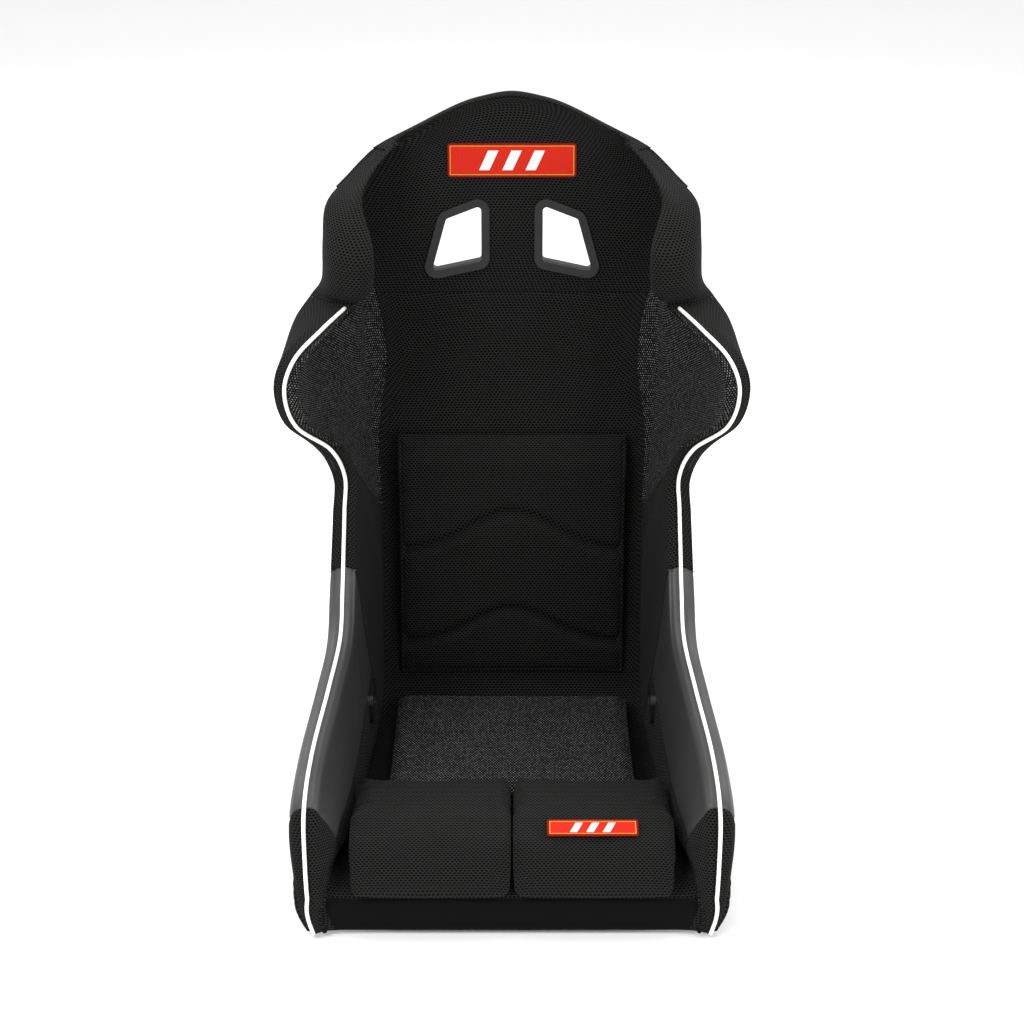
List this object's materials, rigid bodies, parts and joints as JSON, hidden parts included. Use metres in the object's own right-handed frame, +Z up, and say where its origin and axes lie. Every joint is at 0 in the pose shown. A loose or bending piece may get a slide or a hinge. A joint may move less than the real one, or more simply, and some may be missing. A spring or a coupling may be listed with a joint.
{
  "type": "racing seat",
  "caption": "Fixed-back motorsport bucket with head wings, shoulder bolsters, belt slots and lift-out pads.",
  "frame": {"origin": "middle of the width and depth, on the floor that the bucket stands on", "axes": "+Z up, the sitter faces -Y, +X is the sitter's left"},
  "size_m": [0.598, 0.6383, 0.8993],
  "materials": {
    "composite": "satin",
    "steel": "satin",
    "foam": "matte",
    "vinyl": "satin",
    "grip_fabric": "matte",
    "mesh_fabric": "matte",
    "piping": "satin",
    "plastic_trim": "satin",
    "hook_tape": "matte",
    "badge": "matte"
  },
  "bodies": {
    "bucket_body": {"bucket": "composite", "mount_inserts_left": "steel", "mount_inserts_right": "steel", "thigh_foam_left": "foam", "thigh_foam_right": "foam", "torso_foam_left": "foam", "torso_foam_right": "foam", "shoulder_foam_left": "foam", "shoulder_foam_right": "foam", "wing_foam_left": "foam", "wing_foam_right": "foam", "pan_foam": "foam", "back_foam": "foam", "head_foam": "foam", "crown_foam": "foam", "crown_rear_foam": "foam", "lower_outer_cover_left": "mesh_fabric", "lower_outer_cover_right": "mesh_fabric", "vinyl_outer_left": "vinyl", "vinyl_outer_right": "vinyl", "shoulder_gusset_left": "mesh_fabric", "shoulder_gusset_right": "mesh_fabric", "lower_inner_cover_left": "mesh_fabric", "lower_inner_cover_right": "mesh_fabric", "vinyl_inner_left": "vinyl", "vinyl_inner_right": "vinyl", "hip_cover_left": "mesh_fabric", "hip_cover_right": "mesh_fabric", "waist_cover_left": "mesh_fabric", "waist_cover_right": "mesh_fabric", "shoulder_grip_left": "grip_fabric", "shoulder_grip_right": "grip_fabric", "wing_band_left": "mesh_fabric", "wing_band_right": "mesh_fabric", "wing_lining_left": "mesh_fabric", "wing_lining_right": "mesh_fabric", "lip_cover": "vinyl", "pan_cover": "mesh_fabric", "back_cover": "mesh_fabric", "head_cover": "mesh_fabric", "crown_rear_cover": "mesh_fabric", "piping_left": "piping", "piping_right": "piping", "slot_frame_left": "plastic_trim", "slot_frame_right": "plastic_trim", "slot_ring_left": "plastic_trim", "slot_ring_right": "plastic_trim", "lap_frame_left": "plastic_trim", "lap_frame_right": "plastic_trim", "crotch_frame": "plastic_trim", "hook_strips": "hook_tape", "head_patch": "badge"},
    "back_pad": {"back_pad": "mesh_fabric"},
    "squab_pad": {"squab_pad": "grip_fabric"},
    "thigh_pad_left": {"thigh_pad_left": "mesh_fabric", "thigh_patch": "badge"},
    "thigh_pad_right": {"thigh_pad_right": "mesh_fabric"}
  },
  "joints": [
    {"name": "back_pad_lift", "type": "slide", "parent": "bucket_body", "child": "back_pad", "axis": [0, 0, 1], "range_m": [0, 0.1]},
    {"name": "squab_pad_lift", "type": "slide", "parent": "bucket_body", "child": "squab_pad", "axis": [0, 0, 1], "range_m": [0, 0.06]},
    {"name": "thigh_pad_left_lift", "type": "slide", "parent": "bucket_body", "child": "thigh_pad_left", "axis": [0, 0, 1], "range_m": [0, 0.08]},
    {"name": "thigh_pad_right_lift", "type": "slide", "parent": "bucket_body", "child": "thigh_pad_right", "axis": [0, 0, 1], "range_m": [0, 0.08]}
  ]
}
